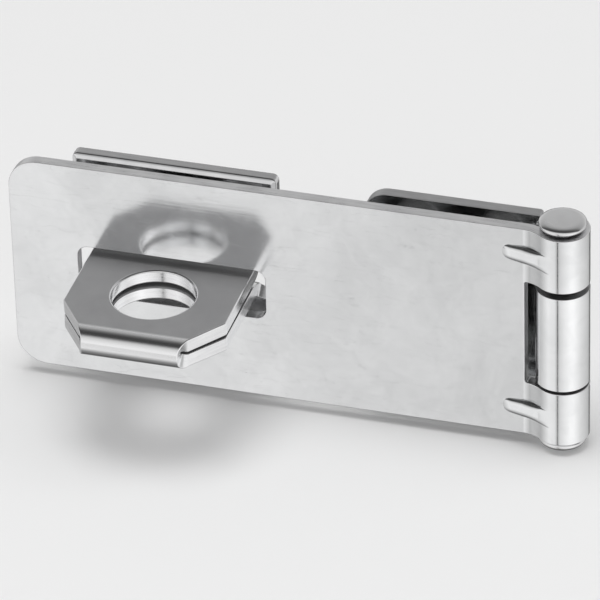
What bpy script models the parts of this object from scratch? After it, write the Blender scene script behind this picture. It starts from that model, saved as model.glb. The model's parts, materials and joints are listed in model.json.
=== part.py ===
"""Hasp and staple: a slotted hinged leaf that closes over a folded steel eye.

Every sheet piece is made the way it is pressed: a flat blank outline, with its holes, is bent
along a path. The frame's origin is the centre of the fixed leaf's back face. +X runs along the
hasp towards the hinge, +Y points into the mounting surface and +Z is up.
"""

import math

import bmesh
import bpy
from mathutils import Vector
from mathutils.geometry import delaunay_2d_cdt

# Driving dimensions, in metres.
SHEET = 0.0020              # thickness of both leaves
STAPLE_SHEET = 0.0023       # thickness of the staple strip
EYE_GAP = 0.0004            # between the two layers of the folded eye, at the fold
CLEAR = 0.0003              # running clearance kept between touching pieces

KNUCKLE_R = 0.00435         # outer radius of the rolled knuckles
LEAF_REACH = 0.09065        # pin axis to the hasp leaf's free end
LEAF_HALF = 0.01925         # half the height of the leaves
LEAF_CORNER = 0.0050        # corner radius at the free ends
LEAF_FRONT = 0.0022         # pin axis to the hasp leaf's front face
NECK_BEND = 0.0050          # radius of the bend from the leaf out to its knuckles
NOTCH_REACH = 0.0056        # pin axis to the edge of the notch between the knuckles
OUTER_KNUCKLE_Z = 0.0095    # inner ends of the two outer knuckles, either way from the middle
LEAF_ROLL_END = math.radians(178)  # where the roll closes, as an angle about the pin from +X

SLOT_X = (-0.0795, -0.0482)  # ends of the slot, from the pin axis
SLOT_HALF = 0.0045          # half the height of the slot
SLOT_CORNER = 0.0018

RIB_Z = (0.0149, -0.0141)   # heights of the two pressed stiffening ribs
RIB_HALF = 0.00115          # half the width of a rib
RIB_START = 0.0092          # pin axis to a rib's outer end
RIB_DIES = math.radians(-10)       # where it dies out on the knuckle, as an angle about the pin from -Y
RIB_HEIGHT = 0.00095

PLATE_REACH = 0.0330        # pin axis to the fixed leaf's free end
PLATE_STEP = 0.00415        # pin axis to the fixed leaf's edge beside its knuckle
CENTRE_KNUCKLE_Z = (-0.0090, 0.0085)
PLATE_CORNER = 0.0040
PLATE_ROLL = math.radians(295)     # how far the centre knuckle is rolled round the pin

PIN_R = 0.00205             # shank radius
HEAD_R = 0.00382            # radius of the riveted heads
HEAD_HEIGHT = 0.00120        # up to the rim of the dome
HEAD_DOME = 0.0002

EYE_X = -0.0643             # middle of the staple, from the pin axis
EYE_HALF = 0.0135           # half the width of the eye
EYE_CHAMFER_Y = -0.0149     # where the eye starts to narrow
EYE_CHAMFER = 0.0074        # length of the narrowing, along the strip
TIP_HALF = 0.0080           # half the width at the fold
FOLD_Y = -0.0209            # where the fold starts
EYE_SPLAY = math.radians(0.55)  # how far each layer leans away from the other, towards the root
SHACKLE_R = 0.00675         # radius of the hole for the padlock's shackle
SHACKLE_Y = -0.0100
STAPLE_HALF = 0.0170        # half the width of the staple's flanges
STAPLE_TOP = 0.0191         # half the height of the staple
STAPLE_BEND = 0.0012        # inside radius of the bends at the eye's root
STAPLE_CORNER = 0.0010
RELIEF = 0.0030             # the sloped step from the eye's width to the flanges' width

SCREW_R = 0.0025            # screw holes
SINK_R = 0.0040             # mouth of a countersink
SINK_DEPTH = 0.0015
PLATE_SCREWS = [(x, z) for x in (-0.0255, -0.0115) for z in (-0.0120, 0.0120)]
STAPLE_SCREW_X = 0.0100
STAPLE_SCREW_Z = 0.0122

ARC_STEP = math.radians(12)  # facet size on the rolled and bent parts
CORNER_STEPS = 5
HOLE_SIDES = 32
SCREW_SIDES = 20
SLIVER = 1e-10              # twice the area under which three points count as in a line

# The pin axis, from the origin at the fixed leaf's back face.
PIN_X = 0.0180
PIN_Y = -KNUCKLE_R


class Path:
    """The middle line of a bent strip, in a plane: straight runs and arcs, measured by length."""

    def __init__(self, start, heading):
        self.runs = []
        self.length = 0.0
        self.at = Vector(start)
        self.heading = heading

    def line(self, length):
        self.runs.append(("line", self.length, length, self.at.copy(), self.heading, 0.0))
        self.at += length * Vector((math.cos(self.heading), math.sin(self.heading)))
        self.length += length

    def arc(self, radius, turn):
        """An arc of this radius, turning left for a positive turn and right for a negative one."""
        side = math.copysign(1.0, turn)
        left = Vector((-math.sin(self.heading), math.cos(self.heading)))
        centre = self.at + side * radius * left
        length = radius * abs(turn)
        self.runs.append(("arc", self.length, length, centre, self.heading, side / radius))
        self.heading += turn
        self.at = centre - side * radius * Vector((-math.sin(self.heading), math.cos(self.heading)))
        self.length += length

    def point(self, along, off):
        """The point at this length along the strip, this far to the left of its middle line."""
        run = next((r for r in self.runs if along <= r[1] + r[2] + 1e-9), self.runs[-1])
        kind, start, _, base, heading, curve = run
        if kind == "line":
            forward = Vector((math.cos(heading), math.sin(heading)))
            left = Vector((-forward.y, forward.x))
            return base + (along - start) * forward + off * left
        angle = heading + (along - start) * curve
        left = Vector((-math.sin(angle), math.cos(angle)))
        return base + (off - 1.0 / curve) * left

    def stations(self):
        """Lengths where the mesh needs an edge across the strip: along each arc and at its ends."""
        found = []
        for kind, start, length, _, _, curve in self.runs:
            if kind == "arc":
                steps = max(2, math.ceil(length * abs(curve) / ARC_STEP))
                found += [start + length * i / steps for i in range(steps + 1)]
        return sorted(set(round(s, 7) for s in found))


def rounded(corners):
    """A closed outline from (x, y, radius) corners, with arcs at the corners that have a radius."""
    points = []
    count = len(corners)
    for i, (x, y, radius) in enumerate(corners):
        corner = Vector((x, y))
        before = (Vector(corners[i - 1][:2]) - corner).normalized()
        after = (Vector(corners[(i + 1) % count][:2]) - corner).normalized()
        if radius == 0.0:
            points.append(corner)
            continue
        half = before.angle(after) / 2.0
        reach = radius / math.tan(half)
        centre = corner + (before + after).normalized() * radius / math.sin(half)
        first = corner + before * reach - centre
        sweep = first.angle_signed(corner + after * reach - centre)
        for k in range(CORNER_STEPS + 1):
            turn = -sweep * k / CORNER_STEPS
            spoke = Vector((first.x * math.cos(turn) - first.y * math.sin(turn),
                            first.x * math.sin(turn) + first.y * math.cos(turn)))
            points.append(centre + spoke)
    return points


def circle(x, y, radius, sides):
    turns = [2.0 * math.pi * (i + 0.5) / sides for i in range(sides)]
    return [Vector((x + radius * math.cos(t), y + radius * math.sin(t))) for t in turns]


def split_at(outline, stations):
    """The outline, with a point added wherever one of its edges crosses a station."""
    points = []
    for i, a in enumerate(outline):
        b = outline[(i + 1) % len(outline)]
        points.append(a)
        low, high = min(a.x, b.x) + 1e-6, max(a.x, b.x) - 1e-6
        crossed = [s for s in stations if low < s < high]
        for s in sorted(crossed, reverse=b.x < a.x):
            points.append(a.lerp(b, (s - a.x) / (b.x - a.x)))
    return points


def inside(point, outline):
    """Whether a point is inside a closed outline."""
    odd = False
    for i, a in enumerate(outline):
        b = outline[i - 1]
        if (a.y > point.y) != (b.y > point.y):
            if point.x < (b.x - a.x) * (point.y - a.y) / (b.y - a.y) + a.x:
                odd = not odd
    return odd


def spans(outline, station):
    """Pairs of outline points that face each other across the strip at a station."""
    on = sorted((p for p in outline if abs(p.x - station) < 1e-6), key=lambda p: p.y)
    pairs = []
    for a, b in zip(on, on[1:]):
        if inside((a + b) / 2.0 + Vector((1e-7, 0.0)), outline):
            if inside((a + b) / 2.0 - Vector((1e-7, 0.0)), outline):
                pairs.append((a, b))
    return pairs


def fill(loops, stations, extra):
    """Triangles over an outline with holes, with edges across it at every station."""
    points = []
    edges = []
    for loop in loops:
        first = len(points)
        points += loop
        edges += [(first + i, first + (i + 1) % len(loop)) for i in range(len(loop))]
    index = {(round(p.x, 8), round(p.y, 8)): i for i, p in enumerate(points)}
    for station in stations:
        for a, b in spans(loops[0], station):
            edges.append((index[(round(a.x, 8), round(a.y, 8))], index[(round(b.x, 8), round(b.y, 8))]))
    rim = len(points)
    points += extra
    flat, _, faces, origin, _, _ = delaunay_2d_cdt(points, edges, [], 0, 1e-8)
    kept = []
    for face in faces:
        a, b, c = (flat[i] for i in face)
        middle = (a + b + c) / 3.0
        sliver = abs((b - a).cross(c - a)) < SLIVER
        if not sliver and inside(middle, loops[0]) and not any(inside(middle, hole) for hole in loops[1:]):
            kept.append(face)
    number = {i: min(o) if o and min(o) < rim else None for i, o in enumerate(origin)}
    return flat, kept, number


def sheet(name, path, place, loops, material, lift=None, extra=()):
    """A bent sheet piece.

    Each loop of the blank is a list of rings, from the face at the path's right to the one at
    its left: (outline, offset from the middle of the sheet). The first loop is the outside.
    """
    stations = path.stations()
    lift = lift or (lambda along, across: 0.0)
    mesh = bmesh.new()

    def vertex(point, off):
        bent = path.point(point.x, off + lift(point.x, point.y))
        return mesh.verts.new(place(bent, point.y))

    rings = []
    for i, loop in enumerate(loops):
        cut = [(split_at(outline, stations) if i == 0 else outline, off) for outline, off in loop]
        made = [[vertex(p, off) for p in outline] for outline, off in cut]
        rings.append((cut, made))
        for lower, upper in zip(made, made[1:]):
            for k in range(len(lower)):
                j = (k + 1) % len(lower)
                mesh.faces.new((lower[k], lower[j], upper[j], upper[k]))
    for end in (0, -1):
        flat, faces, number = fill([cut[end][0] for cut, _ in rings], stations, list(extra))
        rim = [v for _, made in rings for v in made[end]]
        off = rings[0][0][end][1]
        verts = {}
        for face in faces:
            for i in face:
                if i not in verts:
                    verts[i] = rim[number[i]] if number[i] is not None else vertex(flat[i], off)
            mesh.faces.new([verts[i] for i in face])
    bmesh.ops.recalc_face_normals(mesh, faces=mesh.faces)
    return finish(name, mesh, material)


def finish(name, mesh, material):
    """Turn a bmesh into a named object at the origin, with its material."""
    data = bpy.data.meshes.new(name)
    mesh.to_mesh(data)
    mesh.free()
    data.materials.append(material)
    obj = bpy.data.objects.new(name, data)
    bpy.context.scene.collection.objects.link(obj)
    return obj


def metal(name, colour, roughness):
    made = bpy.data.materials.new(name)
    made.use_nodes = True
    shader = made.node_tree.nodes["Principled BSDF"]
    shader.inputs["Base Color"].default_value = (*colour, 1.0)
    shader.inputs["Roughness"].default_value = roughness
    shader.inputs["Metallic"].default_value = 1.0
    return made


def along_hinge(origin):
    """Places path points of the leaves, which are bent in plan, relative to an object's origin."""
    return lambda bent, across: Vector((PIN_X + bent.x, PIN_Y + bent.y, across)) - Vector(origin)


def make_hasp_leaf():
    """The slotted leaf, with two rolled knuckles and two pressed ribs beside them."""
    middle = -LEAF_FRONT + SHEET / 2.0
    bend = math.acos((LEAF_FRONT + NECK_BEND) / (KNUCKLE_R + NECK_BEND))
    straight = LEAF_REACH - (KNUCKLE_R + NECK_BEND) * math.sin(bend)
    path = Path((-LEAF_REACH, middle), 0.0)
    path.line(straight)
    path.arc(NECK_BEND + SHEET / 2.0, -bend)
    path.arc(KNUCKLE_R - SHEET / 2.0, LEAF_ROLL_END + math.pi / 2.0 + bend)

    end = path.length
    notch = LEAF_REACH - NOTCH_REACH
    top = LEAF_HALF
    inner = OUTER_KNUCKLE_Z
    outline = rounded([
        (0.0, -top, LEAF_CORNER), (end, -top, 0.0), (end, -inner, 0.0), (notch, -inner, 0.0),
        (notch, inner, 0.0), (end, inner, 0.0), (end, top, 0.0), (0.0, top, LEAF_CORNER)])
    left, right = (LEAF_REACH + x for x in SLOT_X)
    slot = rounded([(left, -SLOT_HALF, SLOT_CORNER), (right, -SLOT_HALF, SLOT_CORNER),
                    (right, SLOT_HALF, SLOT_CORNER), (left, SLOT_HALF, SLOT_CORNER)])

    rib_from = LEAF_REACH - RIB_START
    rib_to = path.length - (KNUCKLE_R - SHEET / 2.0) * (LEAF_ROLL_END + math.pi / 2.0 - RIB_DIES)

    def lift(along, across):
        """A rib's height, pressed towards the front: a rounded ridge that dies out at both ends."""
        t = (along - rib_from) / (rib_to - rib_from)
        if not 0.0 < t < 1.0:
            return 0.0
        width = min(abs(across - z) for z in RIB_Z) / RIB_HALF
        if width >= 1.0:
            return 0.0
        return -RIB_HEIGHT * math.sin(math.pi * t) ** 0.8 * math.cos(math.pi * width / 2.0) ** 1.2

    steps = [rib_from + (straight - rib_from) * i / 6.0 for i in range(6)]
    steps += [s for s in path.stations() if s < rib_to]
    extra = [Vector((s, z + RIB_HALF * k / 4.0)) for z in RIB_Z for s in steps for k in range(-4, 5)]
    half = SHEET / 2.0
    loops = [[(outline, -half), (outline, half)], [(slot, -half), (slot, half)]]
    return sheet("hasp_leaf", path, along_hinge((PIN_X, PIN_Y, 0.0)), loops,
                 metal("zinc_leaf", (0.80, 0.81, 0.82), 0.22), lift, extra)


def screw_hole(x, y, thickness):
    """The rings of a countersunk hole whose mouth is on the sheet's front."""
    half = thickness / 2.0
    return [(circle(x, y, SINK_R, SCREW_SIDES), -half),
            (circle(x, y, SCREW_R, SCREW_SIDES), -half + SINK_DEPTH),
            (circle(x, y, SCREW_R, SCREW_SIDES), half)]


def make_hinge_leaf():
    """The fixed leaf, screwed to the frame, with the centre knuckle rolled from its edge."""
    path = Path((-PLATE_REACH, KNUCKLE_R - SHEET / 2.0), 0.0)
    path.line(PLATE_REACH)
    path.arc(KNUCKLE_R - SHEET / 2.0, -PLATE_ROLL)

    end = path.length
    step = PLATE_REACH - PLATE_STEP
    low, high = CENTRE_KNUCKLE_Z
    outline = rounded([
        (0.0, -LEAF_HALF, PLATE_CORNER), (step, -LEAF_HALF, 0.0), (step, low, 0.0), (end, low, 0.0),
        (end, high, 0.0), (step, high, 0.0), (step, LEAF_HALF, 0.0), (0.0, LEAF_HALF, PLATE_CORNER)])
    half = SHEET / 2.0
    loops = [[(outline, -half), (outline, half)]]
    loops += [screw_hole(PLATE_REACH + x, z, SHEET) for x, z in PLATE_SCREWS]
    return sheet("hinge_leaf", path, along_hinge((0.0, 0.0, 0.0)), loops,
                 metal("zinc_plate", (0.78, 0.79, 0.80), 0.25))


def make_staple():
    """The staple: one strip folded double into the eye, with a flange bent off each end."""
    half = STAPLE_SHEET / 2.0
    layer = EYE_GAP / 2.0 + half
    bend = STAPLE_BEND + half
    flange_y = KNUCKLE_R - half
    bend_turn = math.pi / 2.0 - EYE_SPLAY
    reach = (flange_y - bend - FOLD_Y + (bend + layer) * math.sin(EYE_SPLAY)) / math.cos(EYE_SPLAY)
    flange = STAPLE_TOP - (layer + bend) * math.cos(EYE_SPLAY) - reach * math.sin(EYE_SPLAY)
    path = Path((flange_y, STAPLE_TOP), -math.pi / 2.0)
    path.line(flange)
    path.arc(bend, -bend_turn)
    path.line(reach)
    path.arc(layer, math.pi - 2.0 * EYE_SPLAY)
    path.line(reach)
    path.arc(bend, -bend_turn)
    path.line(flange)

    root = flange + bend * bend_turn
    fold = root + reach
    chamfer = fold - (EYE_CHAMFER_Y - FOLD_Y)
    narrow = chamfer + EYE_CHAMFER
    slope_from = flange - RELIEF * 0.4
    half_side = [(0.0, STAPLE_HALF, STAPLE_CORNER), (slope_from, STAPLE_HALF, 0.0008),
                 (slope_from + RELIEF, EYE_HALF, 0.0), (chamfer, EYE_HALF, 0.0010),
                 (narrow, TIP_HALF, 0.0)]
    far_side = [(path.length - s, w, r) for s, w, r in reversed(half_side)]
    one_side = half_side + far_side
    outline = rounded([(s, -w, r) for s, w, r in one_side] + [(s, w, r) for s, w, r in reversed(one_side)])

    into_eye = fold - (SHACKLE_Y - FOLD_Y)
    screw = STAPLE_TOP - STAPLE_SCREW_Z
    loops = [[(outline, -half), (outline, half)]]
    for along in (into_eye, path.length - into_eye):
        hole = circle(along, 0.0, SHACKLE_R, HOLE_SIDES)
        loops.append([(hole, -half), (hole, half)])
    for along in (screw, path.length - screw):
        for x in (-STAPLE_SCREW_X, STAPLE_SCREW_X):
            loops.append(screw_hole(along, x, STAPLE_SHEET))

    def place(bent, across):
        return Vector((PIN_X + EYE_X + across, PIN_Y + bent.x, bent.y))

    return sheet("staple", path, place, loops, metal("zinc_staple", (0.66, 0.67, 0.68), 0.30))


def make_pin():
    """The hinge pin, with a domed head riveted over at each end."""
    top = LEAF_HALF + CLEAR
    rim = top + HEAD_HEIGHT
    half = [(PIN_R, top), (HEAD_R * 0.85, top), (HEAD_R, top + HEAD_HEIGHT * 0.45),
            (HEAD_R, top + HEAD_HEIGHT * 0.65), (HEAD_R * 0.9, rim), (HEAD_R * 0.5, rim + HEAD_DOME * 0.75)]
    peak = rim + HEAD_DOME
    profile = [(r, -z) for r, z in reversed(half)] + half
    mesh = bmesh.new()
    rings = []
    for radius, z in profile:
        turns = [2.0 * math.pi * i / HOLE_SIDES for i in range(HOLE_SIDES)]
        rings.append([mesh.verts.new((radius * math.cos(t), radius * math.sin(t), z)) for t in turns])
    for lower, upper in zip(rings, rings[1:]):
        for k in range(HOLE_SIDES):
            j = (k + 1) % HOLE_SIDES
            mesh.faces.new((lower[k], lower[j], upper[j], upper[k]))
    for ring, z in ((rings[0], -peak), (rings[-1], peak)):
        tip = mesh.verts.new((0.0, 0.0, z))
        for k in range(HOLE_SIDES):
            mesh.faces.new((ring[k], ring[(k + 1) % HOLE_SIDES], tip))
    bmesh.ops.recalc_face_normals(mesh, faces=mesh.faces)
    return finish("hinge_pin", mesh, metal("zinc_pin", (0.82, 0.83, 0.84), 0.18))


def main():
    for obj in list(bpy.data.objects):
        bpy.data.objects.remove(obj, do_unlink=True)
    make_hinge_leaf()
    make_staple()
    for obj in (make_hasp_leaf(), make_pin()):
        obj.location = (PIN_X, PIN_Y, 0.0)


main()
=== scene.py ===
"""Looks of a bright zinc hasp and staple: refined sheet-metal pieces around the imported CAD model."""

import functools
import json
import math

import bpy
import numpy as np
from mathutils import Matrix, Vector
from mathutils.geometry import delaunay_2d_cdt


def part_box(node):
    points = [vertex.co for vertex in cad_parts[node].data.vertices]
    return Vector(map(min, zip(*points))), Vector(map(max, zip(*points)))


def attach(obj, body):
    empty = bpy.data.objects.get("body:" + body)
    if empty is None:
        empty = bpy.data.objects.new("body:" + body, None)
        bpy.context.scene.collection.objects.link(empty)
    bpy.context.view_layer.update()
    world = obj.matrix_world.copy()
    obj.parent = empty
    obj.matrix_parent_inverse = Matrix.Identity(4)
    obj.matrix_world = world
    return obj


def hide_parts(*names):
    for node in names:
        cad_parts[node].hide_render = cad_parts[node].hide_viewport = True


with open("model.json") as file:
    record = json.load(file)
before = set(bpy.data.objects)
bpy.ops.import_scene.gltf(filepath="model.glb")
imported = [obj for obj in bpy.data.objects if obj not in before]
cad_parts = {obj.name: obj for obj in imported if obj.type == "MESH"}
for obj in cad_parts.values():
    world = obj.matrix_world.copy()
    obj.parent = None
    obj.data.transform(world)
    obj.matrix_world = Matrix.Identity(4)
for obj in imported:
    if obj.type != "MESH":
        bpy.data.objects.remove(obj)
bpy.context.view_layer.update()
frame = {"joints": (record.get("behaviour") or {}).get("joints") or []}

MM = 0.001

# ---------------------------------------------------------------- sizes
# Read from the frame: the pin axis, and each piece's box.
HINGE = next(j for j in frame["joints"] if j["name"] == "hasp_hinge")
PIN = Vector(HINGE["pos_m"])
LEAF_LOW, LEAF_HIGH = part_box("hasp_leaf")
PLATE_LOW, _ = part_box("hinge_leaf")
STAPLE_LOW, STAPLE_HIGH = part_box("staple")
HEAD_LOW, HEAD_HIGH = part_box("hinge_pin")

KNUCKLE_R = LEAF_HIGH.x - PIN.x
LEAF_REACH = PIN.x - LEAF_LOW.x
LEAF_HALF = LEAF_HIGH.z
PLATE_REACH = PIN.x - PLATE_LOW.x
EYE_MIDDLE = (STAPLE_LOW.x + STAPLE_HIGH.x) / 2.0
STAPLE_HALF = (STAPLE_HIGH.x - STAPLE_LOW.x) / 2.0
STAPLE_TOP = STAPLE_HIGH.z
HEAD_R = (HEAD_HIGH.x - HEAD_LOW.x) / 2.0
HEAD_TOP = HEAD_HIGH.z

# The rest of the design's driving sizes. Places are measured from the pin axis.
SHEET = 2.0 * MM            # thickness of both leaves
LEAF_CORNER = 5.0 * MM
SMALL_CORNER = 0.45 * MM    # of the leaves' notch and steps, and of their rolled ends
LEAF_FRONT = 2.2 * MM       # to the hasp leaf's front face
NECK_BEND = 5.0 * MM        # radius of the front face where the leaf bends out to its knuckles
NOTCH_REACH = 5.6 * MM      # to the edge of the notch between the knuckles
OUTER_KNUCKLE_Z = 9.5 * MM  # to the outer knuckles' inner ends, up and down
LEAF_ROLL_END = math.radians(178)  # where the roll closes, as an angle about the pin from +X
SLOT_X = (-79.5 * MM, -48.2 * MM)
SLOT_HALF = 4.5 * MM        # half its height
SLOT_CORNER = 1.8 * MM

RIB_Z = (14.9 * MM, -14.1 * MM)      # the middle of each pressed rib, at its tip
RIB_LEAN = 0.06                      # its drop towards the knuckle, as a share of its length
RIB_HALF = (1.15 * MM, 1.52 * MM)    # half its width, at its tip and from the neck on
RIB_START = 9.2 * MM                 # to its tip
RIB_DIES = math.radians(-10.3)       # where it meets the knuckle, as an angle about the pin from -Y
RIB_TIP = 1.6 * MM                   # length of its rounded tip
RIB_TIP_DROP = 0.60                  # how far its top dips over the tip, as a share of its height
RIB_SECTION = 2.6                    # 2 would make its section half an ellipse; more is fuller

PLATE_STEP = 4.15 * MM      # to the fixed leaf's edge beside its knuckle
CENTRE_KNUCKLE_Z = (-9.0 * MM, 8.5 * MM)
PLATE_CORNER = 4.0 * MM
PLATE_ROLL = math.radians(295)       # how far the centre knuckle is rolled round the pin
PLATE_SCREWS = [(x * MM, z * MM) for x in (-25.5, -11.5) for z in (-12.0, 12.0)]

STRIP = 2.3 * MM            # thickness of the staple
EYE_GAP = 0.4 * MM          # between its two layers, at the fold
EYE_SPLAY = math.radians(0.55)       # how far each layer leans away from the other, towards the root
EYE_HALF = 13.5 * MM        # half the eye's width
EYE_CHAMFER_Y = -14.9 * MM  # where it starts to narrow
EYE_CHAMFER = 7.4 * MM      # length of the narrowing, along the strip
TIP_HALF = 8.0 * MM         # half its width at the fold
FOLD_Y = -20.88 * MM        # where the fold starts
SHACKLE_R = 6.75 * MM
SHACKLE_Y = -10.0 * MM
STAPLE_BEND = 1.2 * MM      # inside radius of the bends at the eye's root
STAPLE_CORNER = 1.0 * MM
RELIEF = 3.0 * MM           # length of the slope from the flanges' width to the eye's
RELIEF_ON_FLANGE = 0.4      # the share of that slope which is on the flange
STAPLE_SCREW_X = 10.0 * MM
STAPLE_SCREW_Z = 12.2 * MM

SCREW_R = 2.5 * MM
SINK_R = 4.0 * MM
SINK_DEPTH = 1.5 * MM
PIN_SHANK_R = 2.05 * MM
HEAD_GAP = 0.3 * MM         # between a pin head and the knuckle's end

# How the sheared edges look: rolled over on the punch's side, torn and nearly sharp on the other.
# A roll-over is the radius on the punch's side, and an under or a burr the one on the other.
LEAF_ROLL_OVER = 0.10 * MM
EYE_ROLL_OVER = 0.14 * MM
HOLE_ROLL_OVER = 0.30 * MM
HOLE_UNDER = 0.30 * MM
FLANGE_ROLL_OVER = 0.68 * MM
FLANGE_BEVEL = 1.10 * MM    # the worn bevel between a flange's front and its edge
FLANGE_CORNER_SHARE = 0.55  # how much of the bevel and of the extra roll-over the corners keep
NO_BEVEL = 0.02 * MM        # too narrow to show; none at all would double the points
EYE_UNDER = 0.12 * MM
BURR = 0.09 * MM
TEAR = 0.03 * MM            # how far the torn band is set back
TEAR_STEP = (0.55, 0.65)    # where the edge steps back to it, as shares of its flat
BY_LEFT_FACE = 0.8          # past this share of the depth, a hole's edge takes the left face's material, in the staple the inner faces' painted shade

# Mesh steps and tolerances.
ARC_STEP = math.radians(4)
CORNER_STEP = math.radians(9)
CIRCLE_SIDES = 72
PIN_SIDES = 96
RIB_STEPS, RIB_WIDTHS = 26, 12  # points along a rib up to the neck, and out from its middle
SLOPE_STEP = 0.02 * MM      # to each side, when the slope of a pressed face is measured
SHORT_EDGE = 0.3 * MM       # edges shorter than this aren't split at the stations
NEAR_END = 2e-6             # nearer than this to an edge's end, a station doesn't split it
ON_STATION = 3e-6           # within this of a station, a point is on it
BESIDE = 1e-6               # to each side of an edge across the strip, to see that it is inside
MERGE = 1e-9                # lengths and points nearer than this are the same
SLIVER = 2e-12              # triangles with less than this for twice their area are left out


# ---------------------------------------------------------------- bent sheet pieces
class Path:
    """The middle line of a bent strip, in a plane: straight runs and arcs, measured by length."""

    def __init__(self, start, heading):
        self.runs = []
        self.length = 0.0
        self.at = Vector(start)
        self.heading = heading

    def line(self, length):
        self.runs.append((self.length, length, self.at.copy(), self.heading, 0.0))
        self.at += length * Vector((math.cos(self.heading), math.sin(self.heading)))
        self.length += length

    def arc(self, radius, turn):
        """An arc of this radius, turning left for a positive turn and right for a negative one."""
        side = math.copysign(1.0, turn)
        left = Vector((-math.sin(self.heading), math.cos(self.heading)))
        centre = self.at + side * radius * left
        self.runs.append((self.length, radius * abs(turn), centre, self.heading, side / radius))
        self.heading += turn
        self.at = centre - side * radius * Vector((-math.sin(self.heading), math.cos(self.heading)))
        self.length += radius * abs(turn)

    def at_length(self, along, off):
        """The point at this length, this far to the left, with the forward and left directions."""
        start, _, base, heading, curve = next(
            (r for r in self.runs if along <= r[0] + r[1] + MERGE), self.runs[-1])
        angle = heading + (along - start) * curve
        forward = Vector((math.cos(angle), math.sin(angle)))
        left = Vector((-forward.y, forward.x))
        if curve == 0.0:
            return base + (along - start) * forward + off * left, forward, left
        return base + (off - 1.0 / curve) * left, forward, left

    def stations(self):
        """Lengths where the mesh needs an edge across the strip: along each arc and at its ends.
        They are rounded, so that the end two arcs share is one station."""
        found = set()
        for start, length, _, _, curve in self.runs:
            if curve != 0.0:
                steps = max(2, math.ceil(length * abs(curve) / ARC_STEP))
                found.update(round(start + length * i / steps, 7) for i in range(steps + 1))
        return sorted(found)


def rounded(corners):
    """A closed outline from (x, y, radius) corners, with an arc at each corner."""
    points = []
    for i, (x, y, radius) in enumerate(corners):
        corner = Vector((x, y))
        before = (Vector(corners[i - 1][:2]) - corner).normalized()
        after = (Vector(corners[(i + 1) % len(corners)][:2]) - corner).normalized()
        half = before.angle(after) / 2.0
        reach = radius / math.tan(half)
        centre = corner + (before + after).normalized() * radius / math.sin(half)
        first = corner + before * reach - centre
        sweep = -first.angle_signed(corner + after * reach - centre)
        steps = max(2, math.ceil(abs(sweep) / CORNER_STEP))
        for k in range(steps + 1):
            turn = sweep * k / steps
            points.append(centre + Matrix.Rotation(turn, 2) @ first)
    return points


def circle(x, y, radius):
    turns = [2.0 * math.pi * (i + 0.5) / CIRCLE_SIDES for i in range(CIRCLE_SIDES)]
    return [Vector((x + radius * math.cos(t), y + radius * math.sin(t))) for t in turns]


def split_at(outline, stations):
    """The outline, with a point added wherever one of its longer edges crosses a station, and for
    each point its distance from the nearer end of that edge, or 0 for the outline's own points."""
    points, room = [], []
    for i, a in enumerate(outline):
        b = outline[(i + 1) % len(outline)]
        points.append(a)
        room.append(0.0)
        if (b - a).length < SHORT_EDGE:
            continue
        low, high = min(a.x, b.x) + NEAR_END, max(a.x, b.x) - NEAR_END
        crossed = [s for s in stations if low < s < high]
        for s in sorted(crossed, reverse=b.x < a.x):
            points.append(a.lerp(b, (s - a.x) / (b.x - a.x)))
            room.append(min((points[-1] - a).length, (points[-1] - b).length))
    return points, room


def outward(outline, side):
    """At each point of an anticlockwise outline, the direction out of the material. side is 1 for
    the outside and -1 for a hole."""
    found = []
    for i, p in enumerate(outline):
        before = (p - outline[i - 1]).normalized()
        after = (outline[(i + 1) % len(outline)] - p).normalized()
        along = (before + after).normalized()
        found.append(side * Vector((along.y, -along.x)))
    return found


def inside(points, outline):
    """Which of these points are inside a closed outline."""
    points = np.asarray(points)
    odd = np.zeros(len(points), dtype=bool)
    for i, a in enumerate(outline):
        b = outline[i - 1]
        if a.y == b.y:
            continue
        crosses = (a.y > points[:, 1]) != (b.y > points[:, 1])
        odd ^= crosses & (points[:, 0] < (b.x - a.x) * (points[:, 1] - a.y) / (b.y - a.y) + a.x)
    return odd


def fill(loops, stations, extra):
    """Triangles over an outline with holes, with edges across it at every station. The last thing
    returned is each point's number in the loops, or None for a point inside them."""
    points, edges = [], []
    for loop in loops:
        first = len(points)
        points += loop
        edges += [(first + i, first + (i + 1) % len(loop)) for i in range(len(loop))]
    rim = len(points)
    points += extra
    beside = Vector((BESIDE, 0.0))
    for station in stations:
        on = sorted((i for i, p in enumerate(points)
                     if abs(p.x - station) < ON_STATION and not len(loops[0]) <= i < rim),
                    key=lambda i: points[i].y)
        for i, j in zip(on, on[1:]):
            middle = (points[i] + points[j]) / 2.0
            if inside([middle + beside, middle - beside], loops[0]).all():
                edges.append((i, j))
    # Output type 0 fills the whole convex hull. What is outside the outline or in a hole is left out.
    flat, _, faces, origin, _, _ = delaunay_2d_cdt(points, edges, [], 0, MERGE)
    a, b, c = (np.array([flat[f[k]] for f in faces]) for k in range(3))
    area = np.abs((b - a)[:, 0] * (c - a)[:, 1] - (b - a)[:, 1] * (c - a)[:, 0])
    middle = (a + b + c) / 3.0
    kept = (area > SLIVER) & inside(middle, loops[0])
    for hole in loops[1:]:
        kept &= ~inside(middle, hole)
    number = [min(o) if o and min(o) < rim else None for o in origin]
    return flat, [f for f, k in zip(faces, kept) if k], number


def ramp(value, low, high):
    """0 up to low, 1 from high on, and a smooth rise between them."""
    t = min(1.0, max(0.0, (value - low) / (high - low)))
    return t * t * (3.0 - 2.0 * t)


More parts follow.
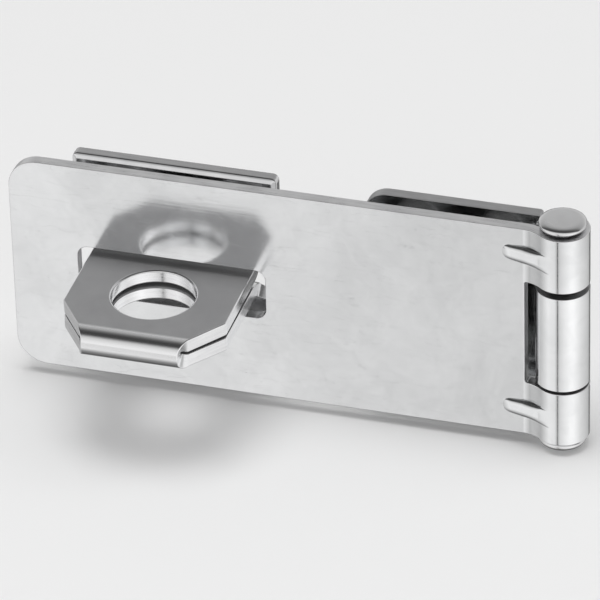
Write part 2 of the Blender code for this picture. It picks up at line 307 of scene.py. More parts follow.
def sheared(thickness, roll, bevel=NO_BEVEL, under=BURR):
    """A sheared edge from the face at the path's right to the one at its left, as
    (inset into the sheet, depth below the right face, tilt of the surface from that face).

    It is rounded by roll on the right face, with a flat worn bevel this wide part of the way, and
    by under on the left."""
    quarter = [math.pi / 2.0 * k / 8.0 for k in range(9)]
    worn = quarter[3]
    edge = [(roll * (1.0 - math.sin(a)) + bevel * math.cos(worn), roll * (1.0 - math.cos(a)), a)
            for a in quarter[:4]]
    edge += [(roll * (1.0 - math.sin(a)), roll * (1.0 - math.cos(a)) + bevel * math.sin(worn), a)
             for a in quarter[3:]]
    start = edge[-1][1]
    shear = thickness - under - start
    edge.append((0.0, start + shear * TEAR_STEP[0], math.pi / 2.0))
    edge.append((TEAR, start + shear * TEAR_STEP[1], math.pi / 2.0))
    edge += [(TEAR + under * (1.0 - math.cos(a)), thickness - under * (1.0 - math.sin(a)),
              math.pi / 2.0 + a) for a in quarter[::2]]
    return edge


def countersunk(thickness):
    """The edge of a screw hole: a cone from the right face down to a short bore."""
    cone = math.atan2(SINK_DEPTH, SINK_R - SCREW_R)
    wide = SINK_R - SCREW_R
    lip = 0.10 * MM
    return [(wide + lip, 0.0, 0.0), (wide + lip * 0.4, lip * 0.15, cone * 0.5),
            (wide - lip * 0.5, lip * 0.5 * math.tan(cone), cone),
            (lip, SINK_DEPTH - lip * math.tan(cone), cone), (0.0, SINK_DEPTH + lip * 0.3, math.pi / 2.0),
            (0.0, thickness - BURR, math.pi / 2.0), (BURR, thickness, math.pi)]


def sheet_piece(name, path, place, thickness, loops, materials, lift=None, extra=()):
    """A bent sheet piece with shaped edges and exact normals.

    loops holds (outline, profile) pairs, the outside first. profile(point) gives the edge's profile
    there, from the face at the path's right to the one at its left. place turns a point of the
    path's plane and a height across the strip into world space. materials are the faces', the
    sheared edges' and, if it differs, that of the left face and of the holes' edges beside it.
    lift(along, across) is how far to the left the faces are pressed out. extra holds more points
    for the faces.
    """
    stations = path.stations()
    lift = lift or (lambda along, across: 0.0)
    verts, normals, faces, slots, corners = [], [], [], [], []

    def surface(p, off):
        bent, _, _ = path.at_length(p.x, off + lift(p.x, p.y))
        return place(bent, p.y)

    def vertex(p, off, tilt, out):
        """Adds a point, with a normal between the right face's, the outline's and the left face's."""
        step = SLOPE_STEP
        _, forward, left = path.at_length(p.x, off)
        zero = place(Vector((0.0, 0.0)), 0.0)
        forward = place(forward, 0.0) - zero
        left = place(left, 0.0) - zero
        across = place(Vector((0.0, 0.0)), 1.0) - zero
        rise_s = (lift(p.x + step, p.y) - lift(p.x - step, p.y)) / (2.0 * step)
        rise_z = (lift(p.x, p.y + step) - lift(p.x, p.y - step)) / (2.0 * step)
        face = (left - rise_s * forward - rise_z * across).normalized()
        normal = -math.cos(tilt) * face
        if out is not None:
            normal = normal + math.sin(tilt) * (out.x * forward + out.y * across)
        verts.append(surface(p, off))
        normals.append(normal.normalized())
        return len(verts) - 1

    half = thickness / 2.0
    first_rings, last_rings, first_ids, last_ids = [], [], [], []
    for number, (outline, profile) in enumerate(loops):
        base, room = split_at(outline, stations if number == 0 else ())
        out = outward(base, 1.0 if number == 0 else -1.0)
        run = np.concatenate(([0.0], np.cumsum([(base[(i + 1) % len(base)] - p).length
                                                for i, p in enumerate(base)])))
        # A point on a station stays on it as the edge is inset, if the edge is long enough.
        profiles = [profile(p) for p in base]
        most = max(inset for edge in profiles for inset, _, _ in edge)
        inwards = []
        for o, space in zip(out, room):
            slides = space > 0.0 and space > most * abs(o.x / (o.y or 1.0))
            inwards.append(Vector((0.0, 1.0 / o.y)) if slides else o)
        rings = []
        for ring in zip(*profiles):
            points = [p - inset * o for p, o, (inset, _, _) in zip(base, inwards, ring)]
            ids = [vertex(p, depth - half, tilt, o)
                   for p, o, (_, depth, tilt) in zip(points, out, ring)]
            rings.append((points, ids, [depth for _, depth, _ in ring]))
        for (_, low, d0), (_, high, d1) in zip(rings, rings[1:]):
            for i in range(len(base)):
                j = (i + 1) % len(base)
                faces.append((low[i], low[j], high[j], high[i]))
                corners.append(((run[i], d0[i]), (run[i + 1], d0[j]),
                                (run[i + 1], d1[j]), (run[i], d1[i])))
                by_left_face = number > 0 and d0[i] > thickness * BY_LEFT_FACE
                slots.append(2 if by_left_face and len(materials) > 2 else 1)
        first_rings.append(rings[0][0])
        last_rings.append(rings[-1][0])
        first_ids += rings[0][1]
        last_ids += rings[-1][1]
    left_slot = 2 if len(materials) > 2 else 0
    for rings, ids, off, tilt, slot in ((first_rings, first_ids, -half, 0.0, 0),
                                        (last_rings, last_ids, half, math.pi, left_slot)):
        flat, triangles, number = fill(rings, stations, list(extra))
        made = {}
        for triangle in triangles:
            for i in triangle:
                if i not in made:
                    on_rim = number[i] is not None
                    made[i] = ids[number[i]] if on_rim else vertex(flat[i], off, tilt, None)
            faces.append(tuple(made[i] for i in triangle))
            corners.append(tuple((flat[i].x, flat[i].y) for i in triangle))
            slots.append(slot)
    return finish_mesh(name, verts, faces, normals, slots, corners, materials)


def finish_mesh(name, verts, faces, normals, slots, corners, materials):
    """A mesh object with the given normals, turned so that every face agrees with them."""
    ordered, uvs = [], []
    for face, uv in zip(faces, corners):
        a, b, c = (verts[face[k]] for k in range(3))
        wanted = sum((normals[i] for i in face), Vector())
        forward = (b - a).cross(c - a).dot(wanted) >= 0.0
        ordered.append(face if forward else face[::-1])
        uvs.append(uv if forward else uv[::-1])
    mesh = bpy.data.meshes.new(name)
    mesh.from_pydata(verts, [], ordered)
    for material in materials:
        mesh.materials.append(material)
    mesh.polygons.foreach_set("material_index", slots)
    layer = mesh.uv_layers.new(name="run")
    layer.data.foreach_set("uv", [x for uv in uvs for point in uv for x in point])
    mesh.shade_smooth()
    mesh.normals_split_custom_set_from_vertices(normals)
    obj = bpy.data.objects.new(name, mesh)
    bpy.context.scene.collection.objects.link(obj)
    return obj


# ---------------------------------------------------------------- materials
MATT_METAL = 0.3            # how metallic the staple's matt faces are
BURNISHED = (0.90, 0.90, 0.905)  # its colour where it is rubbed bright
BURNISHED_ROUGH = 0.17
NECK_SHADE_KEEPS = 0.58           # the share of its brightness that the leaf keeps under the painted shade of its neck
RIM_SHADE_KEEPS = 0.62            # and that the staple's edges keep under the painted shade at its very top and bottom


def shader_tree(name):
    made = bpy.data.materials.new(name)
    made.use_nodes = True
    tree = made.node_tree
    return made, tree, tree.nodes["Principled BSDF"]


def node(tree, kind, inputs=None, **settings):
    """A new node, with its settings, and its sockets set to values or linked from other nodes."""
    made = tree.nodes.new(kind)
    for key, value in settings.items():
        setattr(made, key, value)
    for key, value in (inputs or {}).items():
        if isinstance(value, bpy.types.NodeSocket):
            tree.links.new(value, made.inputs[key])
        else:
            made.inputs[key].default_value = value
    return made


def noise(tree, vector, size, detail=3.0, distortion=0.0):
    """Noise whose features are about this many metres across."""
    return node(tree, "ShaderNodeTexNoise", {"Vector": vector, "Scale": 1.0 / size, "Detail": detail,
                                             "Distortion": distortion}).outputs["Fac"]


def remap(tree, value, low, high, to_low, to_high):
    return node(tree, "ShaderNodeMapRange", {"Value": value, "From Min": low, "From Max": high,
                                             "To Min": to_low, "To Max": to_high}).outputs["Result"]


def maths(tree, operation, a, b):
    return node(tree, "ShaderNodeMath", {0: a, 1: b}, operation=operation).outputs["Value"]


def scaled(tree, colour, by):
    made = node(tree, "ShaderNodeVectorMath", {0: colour, "Scale": by}, operation="SCALE")
    return made.outputs["Vector"]


def burnished_strip(tree, root, fold, length):
    """1 on the staple's flanges and bends, rubbed bright by the tool, and 0 on the eye's matt faces."""
    run = node(tree, "ShaderNodeSeparateXYZ", {
        "Vector": node(tree, "ShaderNodeUVMap", uv_map="run").outputs["UV"]}).outputs["X"]
    from_end = maths(tree, "MINIMUM", run, maths(tree, "SUBTRACT", length, run))
    near_fold = remap(tree, from_end, fold - 0.5 * MM, fold + 0.2 * MM, 0.0, 1.0)
    near_root = remap(tree, from_end, root - 0.3 * MM, root, 1.0, 0.0)
    return maths(tree, "MAXIMUM", near_fold, near_root)


def outside_eye(tree):
    """1 behind the leaf, where the staple's inner face is its back, and 0 inside the folded eye, where
    that face is painted dark as the shade between the eye's two layers.
    """
    place = node(tree, "ShaderNodeTexCoord").outputs["Object"]
    depth = node(tree, "ShaderNodeSeparateXYZ", {"Vector": place}).outputs["Y"]
    begins, full = -4.5 * MM, -4.0 * MM
    return remap(tree, depth, begins, full, 0.0, 1.0)


def painted_neck_shade(tree):
    """Painted shade: 1 where the leaf starts to bend out to its knuckles, fading to 0 on the knuckles.
    It leaves the ribs out."""
    place = node(tree, "ShaderNodeTexCoord").outputs["Object"]
    part = node(tree, "ShaderNodeSeparateXYZ", {"Vector": place}).outputs
    begins, full, gone = (PIN.x - reach * MM for reach in (5.7, 4.8, 1.0))
    start = remap(tree, part["X"], begins, full, 0.0, 1.0)
    fade = remap(tree, part["X"], full, gone, 1.0, 0.0)
    height = maths(tree, "ABSOLUTE", part["Z"], 0.0)
    rib_middle = (RIB_Z[0] - RIB_Z[1]) / 2.0
    from_rib = maths(tree, "ABSOLUTE", maths(tree, "SUBTRACT", height, rib_middle), 0.0)
    beside = remap(tree, from_rib, 1.1 * MM, 2.0 * MM, 0.0, 1.0)
    return maths(tree, "MULTIPLY", maths(tree, "MULTIPLY", start, fade), beside)


def zinc(name, light, dark, roughness, spread, scratches=1.0, grain=0.25, brushed=0.0, burnish=None,
         painted_shade=None):
    """Bright zinc plate: cloudy mottling, fine grain, and a few thin handling scratches.
    brushed is the strength of faint streaks along the sheet, left from its rolling. burnish and
    the last argument each make a mask from the tree. Where burnish is 1 it is bright and smooth, and
    the rest is then matt. Where the last one is 1 it is darker: painted shade."""
    made, tree, shader = shader_tree(name)
    place = node(tree, "ShaderNodeTexCoord").outputs["Object"]
    cloud = noise(tree, place, 14.0 * MM, 4.0, 0.6)
    patch = noise(tree, place, 4.5 * MM, 5.0, 1.2)
    fine = noise(tree, place, 0.35 * MM, 3.0)
    mottle = maths(tree, "ADD", maths(tree, "MULTIPLY", cloud, 0.6), maths(tree, "MULTIPLY", patch, 0.4))
    tone = node(tree, "ShaderNodeValToRGB", {"Fac": mottle})
    tone.color_ramp.elements[0].position = 0.36
    tone.color_ramp.elements[0].color = (*dark, 1.0)
    tone.color_ramp.elements[1].position = 0.64
    tone.color_ramp.elements[1].color = (*light, 1.0)

    # A scratch follows a level line of a stretched noise, and shows only inside some patches.
    marks = 0.0
    for turn, size in ((0.35, 9.0 * MM), (-0.9, 7.0 * MM), (1.35, 12.0 * MM)):
        turned = node(tree, "ShaderNodeMapping", {"Vector": place, "Rotation": (0.0, turn, 0.0),
                                                  "Scale": (1.0, 1.0, 7.0)}).outputs["Vector"]
        above_middle = maths(tree, "SUBTRACT", noise(tree, turned, size, 1.0), 0.5)
        level = maths(tree, "ABSOLUTE", above_middle, 0.0)
        line = remap(tree, level, 0.0, 0.0016, 1.0, 0.0)
        where = remap(tree, noise(tree, turned, size * 0.8, 0.0), 0.56, 0.66, 0.0, 1.0)
        marks = maths(tree, "ADD", marks, maths(tree, "MULTIPLY", line, where))
    marks = maths(tree, "MULTIPLY", marks, scratches)

    rough = remap(tree, patch, 0.3, 0.7, roughness - spread, roughness + spread)
    rough = maths(tree, "ADD", rough, maths(tree, "MULTIPLY", marks, 0.10))
    colour = tone.outputs["Color"]
    if burnish:
        mask = burnish(tree)
        metal = remap(tree, mask, 0.0, 1.0, MATT_METAL, 1.0)
        rough = node(tree, "ShaderNodeMix", {"Factor": mask, "A": rough,
                                             "B": BURNISHED_ROUGH}).outputs["Result"]
        colour = node(tree, "ShaderNodeMix", {"Factor": mask, "A": colour, "B": BURNISHED},
                      data_type="VECTOR").outputs["Result"]
    # Painted shade: darker where the shade mask is 1.
    if painted_shade:
        kept = remap(tree, painted_shade(tree), 0.0, 1.0, 1.0, NECK_SHADE_KEEPS)
        colour = scaled(tree, colour, kept)
    bump = maths(tree, "ADD", maths(tree, "MULTIPLY", fine, grain), maths(tree, "MULTIPLY", marks, -0.5))
    if brushed:
        rolled = node(tree, "ShaderNodeMapping", {"Vector": place, "Scale": (0.05, 1.0, 1.0)})
        streaks = noise(tree, rolled.outputs["Vector"], 0.4 * MM, 3.0)
        bump = maths(tree, "ADD", bump, maths(tree, "MULTIPLY", streaks, brushed))
    relief = node(tree, "ShaderNodeBump", {"Height": bump, "Strength": 0.25, "Distance": 0.02 * MM})
    sway = node(tree, "ShaderNodeBump", {"Height": cloud, "Strength": 0.35, "Distance": 0.10 * MM,
                                         "Normal": relief.outputs["Normal"]})
    tree.links.new(colour, shader.inputs["Base Color"])
    tree.links.new(rough, shader.inputs["Roughness"])
    tree.links.new(sway.outputs["Normal"], shader.inputs["Normal"])
    if burnish:
        tree.links.new(metal, shader.inputs["Metallic"])
    else:
        shader.inputs["Metallic"].default_value = 1.0
    return made


def sheared_zinc(name, light, dark, roughness, shade_above=None):
    """Zinc over a sheared edge: soft streaks run along the edge. It has painted shade: darker where it
    is further up or down than the height it is given."""
    made, tree, shader = shader_tree(name)
    run = node(tree, "ShaderNodeUVMap", uv_map="run").outputs["UV"]
    stretched = node(tree, "ShaderNodeMapping", {"Vector": run, "Scale": (0.10, 1.0, 1.0)})
    streak = noise(tree, stretched.outputs["Vector"], 0.5 * MM, 3.0, 0.4)
    cloud = noise(tree, node(tree, "ShaderNodeTexCoord").outputs["Object"], 3.0 * MM, 3.0)
    both = maths(tree, "ADD", maths(tree, "MULTIPLY", streak, 0.6), maths(tree, "MULTIPLY", cloud, 0.4))
    tone = node(tree, "ShaderNodeValToRGB", {"Fac": both})
    tone.color_ramp.elements[0].position = 0.35
    tone.color_ramp.elements[0].color = (*dark, 1.0)
    tone.color_ramp.elements[1].position = 0.62
    tone.color_ramp.elements[1].color = (*light, 1.0)
    colour = tone.outputs["Color"]
    # Painted shade on the edge faces at the very top and bottom.
    if shade_above:
        place = node(tree, "ShaderNodeTexCoord").outputs["Object"]
        part = node(tree, "ShaderNodeSeparateXYZ", {"Vector": place}).outputs
        height = maths(tree, "ABSOLUTE", part["Z"], 0.0)
        keep = remap(tree, height, shade_above - 0.1 * MM, shade_above + 0.1 * MM, 1.0, RIM_SHADE_KEEPS)
        colour = scaled(tree, colour, keep)
    rough = remap(tree, streak, 0.3, 0.7, roughness - 0.05, roughness + 0.08)
    relief = node(tree, "ShaderNodeBump", {"Height": both, "Strength": 0.35, "Distance": 0.03 * MM})
    tree.links.new(colour, shader.inputs["Base Color"])
    tree.links.new(rough, shader.inputs["Roughness"])
    tree.links.new(relief.outputs["Normal"], shader.inputs["Normal"])
    shader.inputs["Metallic"].default_value = 1.0
    return made


# The leaf's zinc carries painted shade where it bends out to its knuckles.
LEAF_ZINC = zinc("leaf_zinc", (0.92, 0.925, 0.93), (0.79, 0.795, 0.80), 0.14, 0.025, scratches=1.5,
                 brushed=0.8, painted_shade=painted_neck_shade)
PLATE_ZINC = zinc("plate_zinc", (0.92, 0.925, 0.93), (0.80, 0.805, 0.81), 0.13, 0.03)
# The staple's inner faces: painted shade, dark where the eye's two layers face each other, and bright
# zinc behind the leaf.
INNER_SHADE_ZINC = zinc("inner_shade_zinc", (0.30, 0.30, 0.305), (0.20, 0.20, 0.205), 0.45, 0.05, scratches=0.0,
                  burnish=outside_eye)
PIN_ZINC = zinc("pin_zinc", (0.86, 0.86, 0.865), (0.76, 0.76, 0.765), 0.20, 0.04)
LEAF_EDGE = sheared_zinc("leaf_edge", (0.86, 0.86, 0.865), (0.66, 0.66, 0.67), 0.30)
# The fixed leaf's edges take a darker copy of the edge zinc: painted shade.
SHADED_PLATE_EDGE = sheared_zinc("plate_edge_painted_shade", (0.56, 0.56, 0.565), (0.44, 0.44, 0.445), 0.35)
# The staple's edges carry painted shade at its very top and bottom.
STRIP_EDGE = sheared_zinc("strip_edge", (0.95, 0.95, 0.955), (0.82, 0.82, 0.83), 0.18,
                          STAPLE_TOP - 0.3 * MM)


# ---------------------------------------------------------------- pieces
def in_plan(bent, across):
    """Places the leaves, which are bent in plan."""
    return Vector((PIN.x + bent.x, PIN.y + bent.y, across))


def make_hasp_leaf():
    """The slotted leaf, with two rolled knuckles and two pressed ribs beside them."""
    middle = -LEAF_FRONT + SHEET / 2.0
    bend = math.acos((LEAF_FRONT + NECK_BEND) / (KNUCKLE_R + NECK_BEND))
    straight = LEAF_REACH - (KNUCKLE_R + NECK_BEND) * math.sin(bend)
    roll_r = KNUCKLE_R - SHEET / 2.0
    path = Path((-LEAF_REACH, middle), 0.0)
    path.line(straight)
    path.arc(NECK_BEND + SHEET / 2.0, -bend)
    path.arc(roll_r, LEAF_ROLL_END + math.pi / 2.0 + bend)

    end, notch = path.length, LEAF_REACH - NOTCH_REACH
    top, inner, small = LEAF_HALF, OUTER_KNUCKLE_Z, SMALL_CORNER
    outline = rounded([
        (0.0, -top, LEAF_CORNER), (end, -top, small), (end, -inner, small), (notch, -inner, small),
        (notch, inner, small), (end, inner, small), (end, top, small), (0.0, top, LEAF_CORNER)])
    left, right = (LEAF_REACH + x for x in SLOT_X)
    slot = rounded([(left, -SLOT_HALF, SLOT_CORNER), (right, -SLOT_HALF, SLOT_CORNER),
                    (right, SLOT_HALF, SLOT_CORNER), (left, SLOT_HALF, SLOT_CORNER)])

    rib_from = LEAF_REACH - RIB_START
    rib_to = path.length - roll_r * (LEAF_ROLL_END + math.pi / 2.0 - RIB_DIES)
    top_line = Vector((math.sin(RIB_DIES), -math.cos(RIB_DIES)))

    @functools.lru_cache(maxsize=None)
    def crest(along):
        """How far a rib's straight top, which touches the knuckle at its end, is off the leaf."""
        on_face, _, left = path.at_length(along, -SHEET / 2.0)
        return (KNUCKLE_R - on_face.dot(top_line)) / -left.dot(top_line)

    def half_width(along):
        """Half a rib's width, which grows from its tip to the neck."""
        share = min(1.0, (along - rib_from) / (straight - rib_from))
        return RIB_HALF[0] + (RIB_HALF[1] - RIB_HALF[0]) * share

    def middle_of(z, along):
        """Where the middle of the rib that starts at z is, further along."""
        return z - RIB_LEAN * (along - rib_from)

    def lift(along, across):
        """A rib's height, pressed towards the front: a rounded bead that slopes up from its tip."""
        if not rib_from < along < rib_to:
            return 0.0
        width = min(abs(across - middle_of(z, along)) for z in RIB_Z) / half_width(along)
        before_tip = max(0.0, (rib_from + RIB_TIP - along) / RIB_TIP)
        section = math.sqrt(max(0.0, 1.0 - width ** RIB_SECTION - before_tip ** 4))
        return -crest(along) * section * (1.0 - RIB_TIP_DROP * before_tip ** 2)

    # The ribs' points are closest at their tips and sides, and start just outside them.
    bent = path.stations()
    halfway = [(a + b) / 2.0 for a, b in zip(bent, bent[1:])]
    steps = [rib_from - 0.06 * MM]
    steps += [rib_from + (straight - rib_from) * (i / RIB_STEPS) ** 1.4 for i in range(RIB_STEPS)]
    steps += [s for s in bent + halfway if s < rib_to]
    widths = [math.sin(math.pi / 2.0 * k / RIB_WIDTHS) for k in range(-RIB_WIDTHS, RIB_WIDTHS + 1)]
    widths += [-1.04, 1.04]
    extra = [Vector((s, middle_of(z, s) + half_width(s) * w))
             for z in RIB_Z for s in steps for w in widths]

    def edge(point):
        return sheared(SHEET, LEAF_ROLL_OVER)

    return sheet_piece("slotted_leaf", path, in_plan, SHEET, [(outline, edge), (slot, edge)],
                       (LEAF_ZINC, LEAF_EDGE), lift, extra)


def make_hinge_leaf():
    """The fixed leaf, with the centre knuckle rolled from its edge."""
    path = Path((-PLATE_REACH, KNUCKLE_R - SHEET / 2.0), 0.0)
    path.line(PLATE_REACH)
    path.arc(KNUCKLE_R - SHEET / 2.0, -PLATE_ROLL)
    end, step, small = path.length, PLATE_REACH - PLATE_STEP, SMALL_CORNER
    low, high = CENTRE_KNUCKLE_Z
    top = LEAF_HALF
    outline = rounded([
        (0.0, -top, PLATE_CORNER), (step, -top, small), (step, low, small), (end, low, small),
        (end, high, small), (step, high, small), (step, top, small), (0.0, top, PLATE_CORNER)])

    def edge(point):
        return sheared(SHEET, LEAF_ROLL_OVER)

    def sink(point):
        return countersunk(SHEET)

    loops = [(outline, edge)] + [(circle(PLATE_REACH + x, z, SCREW_R), sink) for x, z in PLATE_SCREWS]
    return sheet_piece("fixed_leaf", path, in_plan, SHEET, loops, (PLATE_ZINC, SHADED_PLATE_EDGE))


def make_staple():
    """The staple: one strip folded double into the eye, with a flange bent off each end."""
    half = STRIP / 2.0
    layer = EYE_GAP / 2.0 + half
    bend = STAPLE_BEND + half
    flange_y = KNUCKLE_R - half
    bend_turn = math.pi / 2.0 - EYE_SPLAY
    reach = (flange_y - bend - FOLD_Y + (bend + layer) * math.sin(EYE_SPLAY)) / math.cos(EYE_SPLAY)
    flange = STAPLE_TOP - (layer + bend) * math.cos(EYE_SPLAY) - reach * math.sin(EYE_SPLAY)
    path = Path((flange_y, STAPLE_TOP), -math.pi / 2.0)
    path.line(flange)
    path.arc(bend, -bend_turn)
    path.line(reach)
    path.arc(layer, math.pi - 2.0 * EYE_SPLAY)
    path.line(reach)
    path.arc(bend, -bend_turn)
    path.line(flange)

    root = flange + bend * bend_turn
    fold = root + reach
    chamfer = fold - (EYE_CHAMFER_Y - FOLD_Y)
    narrow = chamfer + EYE_CHAMFER
    slope_from = flange - RELIEF * RELIEF_ON_FLANGE
    half_side = [(0.0, STAPLE_HALF, STAPLE_CORNER), (slope_from, STAPLE_HALF, 0.8 * MM),
                 (slope_from + RELIEF, EYE_HALF, 0.8 * MM), (chamfer, EYE_HALF, 1.0 * MM),
                 (narrow, TIP_HALF, 0.8 * MM)]
    one_side = half_side + [(path.length - s, w, r) for s, w, r in reversed(half_side)]
    outline = rounded([(s, -w, r) for s, w, r in one_side] + one_side[::-1])

    def edge(point):
        """The flanges' edges are well rounded, a little less at their corners, and the eye's are
        nearly sharp."""
        from_end = min(point.x, path.length - point.x)
        from_corner = max(from_end, STAPLE_HALF - abs(point.y))
        on_flange = 1.0 - ramp(from_end, slope_from - 4.0 * MM, slope_from - 1.0 * MM)
        past_corner = ramp(from_corner, STAPLE_CORNER, 4.0 * MM)
        full = on_flange * (FLANGE_CORNER_SHARE + (1.0 - FLANGE_CORNER_SHARE) * past_corner)
        roll = EYE_ROLL_OVER + (FLANGE_ROLL_OVER - EYE_ROLL_OVER) * full
        return sheared(STRIP, roll, max(NO_BEVEL, FLANGE_BEVEL * full), EYE_UNDER)

    def hole_edge(point):
        return sheared(STRIP, HOLE_ROLL_OVER, under=HOLE_UNDER)

    def sink(point):
        return countersunk(STRIP)

    into_eye = fold - (SHACKLE_Y - FOLD_Y)
    screw = STAPLE_TOP - STAPLE_SCREW_Z
    loops = [(outline, edge)]
    loops += [(circle(s, 0.0, SHACKLE_R), hole_edge) for s in (into_eye, path.length - into_eye)]
    loops += [(circle(s, x, SCREW_R), sink)
              for s in (screw, path.length - screw) for x in (-STAPLE_SCREW_X, STAPLE_SCREW_X)]

    def place(bent, across):
        return Vector((EYE_MIDDLE + across, PIN.y + bent.x, bent.y))

    strip_zinc = zinc("strip_zinc", (0.33, 0.33, 0.335), (0.28, 0.28, 0.285), 0.60, 0.06, scratches=1.2,
                      grain=0.9, burnish=lambda tree: burnished_strip(tree, root, fold, path.length))
    return sheet_piece("folded_staple", path, place, STRIP, loops, (strip_zinc, STRIP_EDGE, INNER_SHADE_ZINC))


def make_pin():
    """The hinge pin, with a domed head riveted over at each end."""
    low = LEAF_HALF + HEAD_GAP
    tall = HEAD_TOP - low
    # The head's radii, its heights as shares of its thickness from the underside, and its tilts.
    neck, rim, flat = HEAD_R * 0.84, HEAD_R * 0.88, HEAD_R * 0.66
    side_top, rim_top, dome_top = 0.38, 0.72, 0.99
    shoulder, nearly_flat, flatter = (math.radians(degrees) for degrees in (50, 88.5, 89.2))

    # Half the profile, from the shank outwards over the head: (radius, height, tilt of the surface).
    profile = [(PIN_SHANK_R, low, -math.pi / 2.0), (neck, low, -math.pi / 2.0)]
    for k in range(1, 7):
        a = -math.pi / 2.0 + math.pi / 2.0 * k / 6.0
        height = low + tall * side_top * (1.0 + math.sin(a))
        profile.append((neck + (HEAD_R - neck) * math.cos(a), height, a))
    # Up the side, round the rim, and over a head that is nearly flat in the middle.
    for k in range(1, 9):
        a = shoulder * k / 8.0
        height = low + tall * (side_top + (rim_top - side_top) * math.sin(a) / math.sin(shoulder))
        profile.append((rim + (HEAD_R - rim) * math.cos(a), height, a))
    outer, top = profile[-1][0], low + tall * dome_top
    for k in range(1, 9):
        t = k / 8.0
        rise = 1.0 - (1.0 - t) ** 2
        height = low + tall * rim_top + (top - low - tall * rim_top) * rise
        tilt = shoulder + (nearly_flat - shoulder) * math.sin(math.pi / 2.0 * t)
        profile.append((outer + (flat - outer) * t, height, tilt))
    profile += [(flat * 0.5, HEAD_TOP, flatter), (0.05 * MM, HEAD_TOP, math.pi / 2.0)]

    verts, normals, faces, corners = [], [], [], []
    rows = []
    whole = [(r, -z, -tilt) for r, z, tilt in reversed(profile)] + profile
    for r, z, tilt in whole:
        row = []
        for k in range(PIN_SIDES):
            t = 2.0 * math.pi * k / PIN_SIDES
            level = math.cos(tilt)
            verts.append(Vector((PIN.x + r * math.cos(t), PIN.y + r * math.sin(t), z)))
            normals.append(Vector((level * math.cos(t), level * math.sin(t), math.sin(tilt))))
            row.append(len(verts) - 1)
        rows.append(row)
    for a, b in zip(rows, rows[1:]):
        for k in range(PIN_SIDES):
            j = (k + 1) % PIN_SIDES
            faces.append((a[k], a[j], b[j], b[k]))
            corners.append(((k, 0), (k + 1, 0), (k + 1, 1), (k, 1)))
    faces += [tuple(rows[0]), tuple(rows[-1])]
    corners += [tuple((0.0, 0.0) for _ in range(PIN_SIDES))] * 2
    return finish_mesh("riveted_pin", verts, faces, normals, [0] * len(faces), corners, (PIN_ZINC,))


for build, cad, body, slot in ((make_hasp_leaf, "hasp_leaf", "leaf", "zinc_leaf"),
                               (make_hinge_leaf, "hinge_leaf", "base", "zinc_plate"),
                               (make_staple, "staple", "base", "zinc_staple"),
                               (make_pin, "hinge_pin", "leaf", "zinc_pin")):
    piece = build()
    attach(piece, body)
    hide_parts(cad)


# ---------------------------------------------------------------- floor, light and camera
def make_floor():
    """A plain pale floor under the object. The metal sees the surround's lower half in its place."""
    half = 4.0
    under_pin = 0.5 * MM
    bottom = HEAD_LOW.z - under_pin
    mesh = bpy.data.meshes.new("studio_floor")
    mesh.from_pydata([(x * half, y * half, bottom) for x, y in ((-1, -1), (1, -1), (1, 1), (-1, 1))],
                     [], [(0, 1, 2, 3)])
    made, _, shader = shader_tree("floor_paper")
    shader.inputs["Base Color"].default_value = (0.86, 0.86, 0.86, 1.0)
    shader.inputs["Roughness"].default_value = 0.9
    shader.inputs["Specular IOR Level"].default_value = 0.2
    mesh.materials.append(made)
    floor = bpy.data.objects.new("studio_floor", mesh)
    bpy.context.scene.collection.objects.link(floor)
    floor.visible_glossy = floor.visible_shadow = False


def make_light(name, at, aim, size, power):
    """A soft rectangular light for the floor, not seen in the metal."""
    light = bpy.data.lights.new(name, "AREA")
    light.shape = "RECTANGLE"
    light.size, light.size_y = size
    light.energy = power
    obj = bpy.data.objects.new(name, light)
    obj.location = at
    obj.rotation_euler = (Vector(aim) - Vector(at)).to_track_quat("-Z", "Y").to_euler()
    obj.visible_glossy = False
    bpy.context.scene.collection.objects.link(obj)


def shade_ramp(tree, value, shades):
    """A grey that follows a value through (position, grey) pairs."""
    tone = node(tree, "ShaderNodeValToRGB", {"Fac": value})
    for element, (position, grey) in zip(tone.color_ramp.elements, (shades[0], shades[-1])):
        element.position, element.color = position, (grey, grey, grey, 1.0)
    for position, grey in shades[1:-1]:
        tone.color_ramp.elements.new(position).color = (grey, grey, grey, 1.0)
    return tone.outputs["Color"]


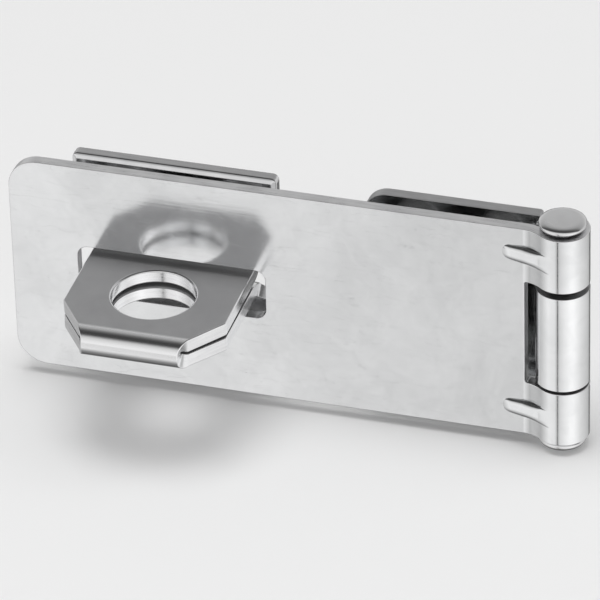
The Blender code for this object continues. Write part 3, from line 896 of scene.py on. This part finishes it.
def make_world():
    """A soft surround. Above the floor it is a pale wall behind, dark overhead and a broad light
    in front. Below, it stands in for the floor in the metal: bright on both sides, with narrow
    dark gaps in front and behind, and shade behind and straight down."""
    world = bpy.data.worlds.new("studio_surround")
    world.use_nodes = True
    tree = world.node_tree
    ray = node(tree, "ShaderNodeTexCoord").outputs["Generated"]
    part = node(tree, "ShaderNodeSeparateXYZ", {"Vector": ray}).outputs

    # From behind (0) over the top (0.5) to in front (1).
    over = maths(tree, "DIVIDE", maths(tree, "ARCTAN2", part["Z"], part["Y"]), math.pi)
    above = shade_ramp(tree, over, (
        (0.00, 0.75), (0.19, 0.51), (0.33, 0.38), (0.44, 0.13), (0.53, 0.05), (0.64, 0.06),
        (0.70, 0.34), (0.75, 0.64), (0.89, 0.86), (1.00, 0.95)))

    # Degrees around, from in front: the left is negative and the right positive.
    turn = maths(tree, "ARCTAN2", part["X"], maths(tree, "MULTIPLY", part["Y"], -1.0))
    around = maths(tree, "ADD", maths(tree, "DIVIDE", turn, 2.0 * math.pi), 0.5)
    below = shade_ramp(tree, around, [(0.5 + degrees / 360.0, grey) for degrees, grey in (
        (-180, 0.40), (-172, 0.40), (-168, 0.06), (-156, 0.06), (-150, 0.40), (-120, 0.42), (-90, 0.60),
        (-65, 0.80), (-49, 0.92), (-34, 0.88), (-20, 0.86), (-14, 0.70), (-10.5, 0.62), (-9, 0.06),
        (-5.5, 0.06), (-4, 0.70), (20, 0.90), (46, 1.06), (60, 1.06), (99, 0.78), (135, 0.62),
        (154, 0.52), (159, 0.08), (166, 0.08), (170, 0.40), (180, 0.40))])
    # Straight down it is a quarter as bright.
    depth = remap(tree, part["Z"], -0.92, -0.60, 0.25, 1.0)
    below = scaled(tree, below, depth)

    # The two halves blend at the horizon.
    height = remap(tree, part["Z"], -0.06, 0.06, 0.0, 1.0)
    both = node(tree, "ShaderNodeMix", {"Factor": height, "A": below, "B": above}, data_type="VECTOR")
    tree.links.new(both.outputs["Result"], tree.nodes["Background"].inputs["Color"])
    bpy.context.scene.world = world


def make_camera():
    """The photograph's view: from the right and above, with a long lens."""
    azimuth, elevation, tilt = math.radians(17.3), math.radians(33.4), math.radians(-1.65)
    distance, lens = 0.947, 356.7
    to_right, down = 1.8 * MM, 1.4 * MM
    aim = PIN + Vector((-45.0 * MM, 0.0, 0.0))
    back = Vector((math.sin(azimuth) * math.cos(elevation), -math.cos(azimuth) * math.cos(elevation),
                   math.sin(elevation)))
    right = (-back).cross(Vector((0.0, 0.0, 1.0))).normalized()
    up = right.cross(-back)
    cos, sin = math.cos(tilt), math.sin(tilt)
    right, up = cos * right + sin * up, cos * up - sin * right
    camera = bpy.data.cameras.new("camera")
    camera.lens = lens
    camera.sensor_width = 36.0
    camera.clip_start, camera.clip_end = 0.05, 50.0
    obj = bpy.data.objects.new("camera", camera)
    turn = Matrix((right, up, back)).transposed()
    obj.location = aim + distance * back + to_right * right - down * up
    obj.rotation_euler = turn.to_euler()
    bpy.context.scene.collection.objects.link(obj)
    bpy.context.scene.camera = obj


make_floor()
make_world()
make_light("key_light", (-0.10, -0.08, 0.80), (-0.03, 0.0, 0.0), (0.50, 0.50), 4.0)
make_light("fill_light", (0.35, 0.10, 0.75), (-0.03, 0.0, 0.0), (0.60, 0.60), 1.4)
make_camera()
bpy.context.scene.view_settings.view_transform = "Standard"
